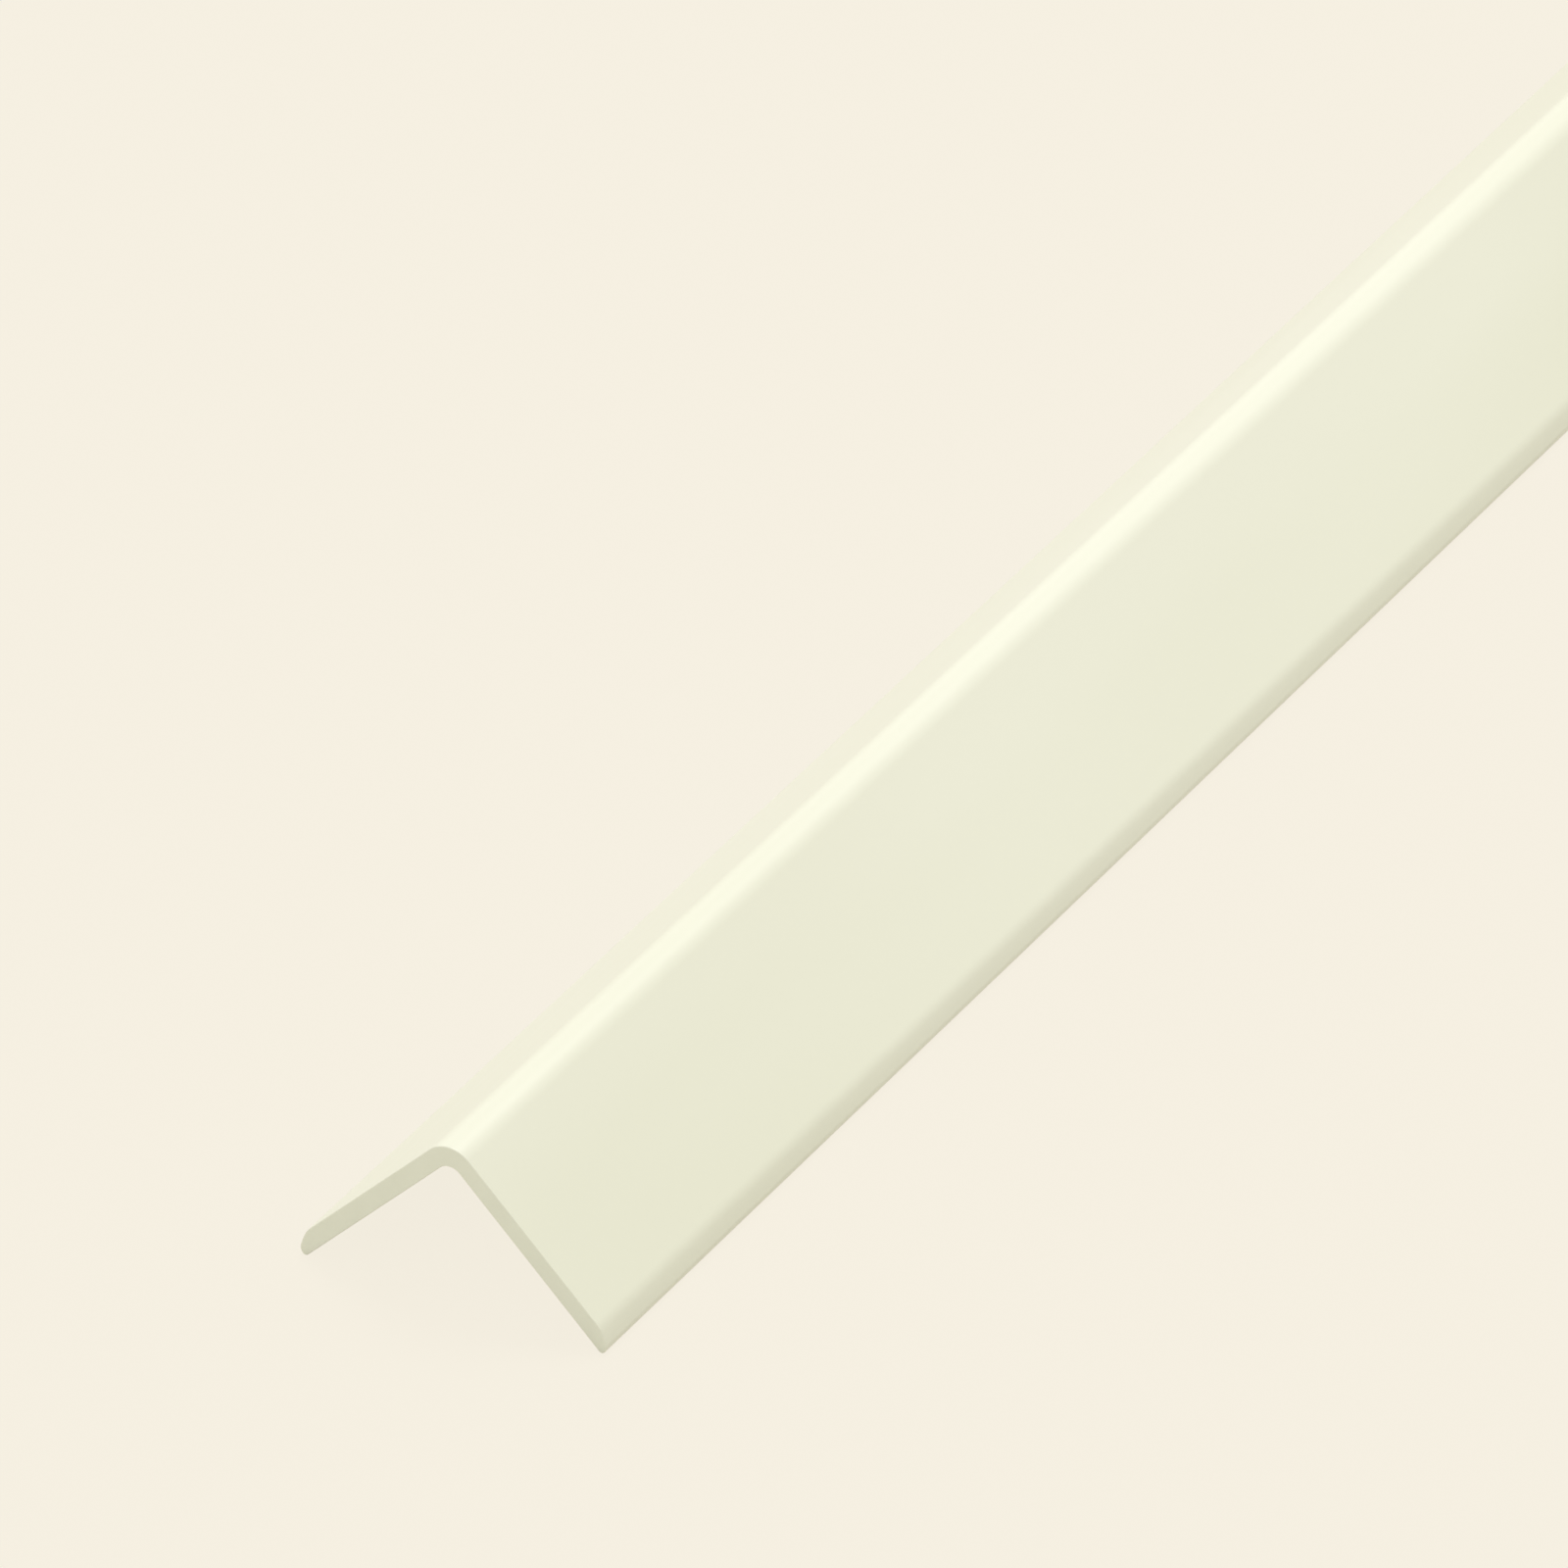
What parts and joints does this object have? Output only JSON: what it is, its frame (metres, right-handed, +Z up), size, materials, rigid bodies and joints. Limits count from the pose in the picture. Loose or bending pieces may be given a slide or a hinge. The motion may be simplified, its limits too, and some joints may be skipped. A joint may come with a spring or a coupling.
{
  "type": "corner guard",
  "caption": "Straight length of extruded ivory PVC angle with equal legs, a rounded bend and free edges bevelled on their outer side, glued over a wall's outside corner to protect it.",
  "frame": {"origin": "on the floor, under the middle of the ridge", "axes": "+X along the bar, +Z up from the floor to the ridge, and the two legs slope down at 45 degrees to +Y and -Y"},
  "size_m": [1, 0.0336, 0.0177],
  "materials": {
    "ivory_pvc": "smooth extruded rigid PVC, ivory all through, satin, with faint die lines along its length and matt saw-cut ends"
  },
  "bodies": {
    "root": {"corner_guard": "ivory_pvc"}
  },
  "joints": []
}
